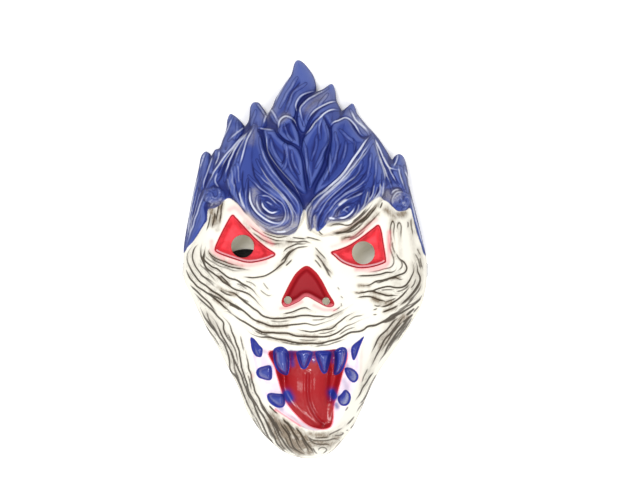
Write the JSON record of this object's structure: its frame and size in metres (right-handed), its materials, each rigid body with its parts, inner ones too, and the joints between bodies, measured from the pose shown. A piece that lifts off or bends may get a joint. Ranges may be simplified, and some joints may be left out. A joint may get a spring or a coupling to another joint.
{
  "type": "ghoul clown mask",
  "caption": "Thin moulded plastic face mask of a grinning ghoul with swept blue hair, eye and nostril holes, and an elastic head strap stapled inside.",
  "frame": {"origin": "centre of the mask's outline, on the plane of its rim", "axes": "+Z out of the face, +Y from the chin to the hair, +X to the viewer's right"},
  "size_m": [0.1636, 0.2656, 0.0756],
  "materials": {
    "painted_sheet": "off-white vinyl sheet with blue, red and dark wash paint",
    "elastic_band": "black woven elastic",
    "staple_wire": "zinc coated wire"
  },
  "bodies": {
    "root": {"mask_shell": "painted_sheet", "elastic_strap": "elastic_band", "strap_staple_left": "staple_wire", "strap_staple_right": "staple_wire"}
  },
  "joints": []
}
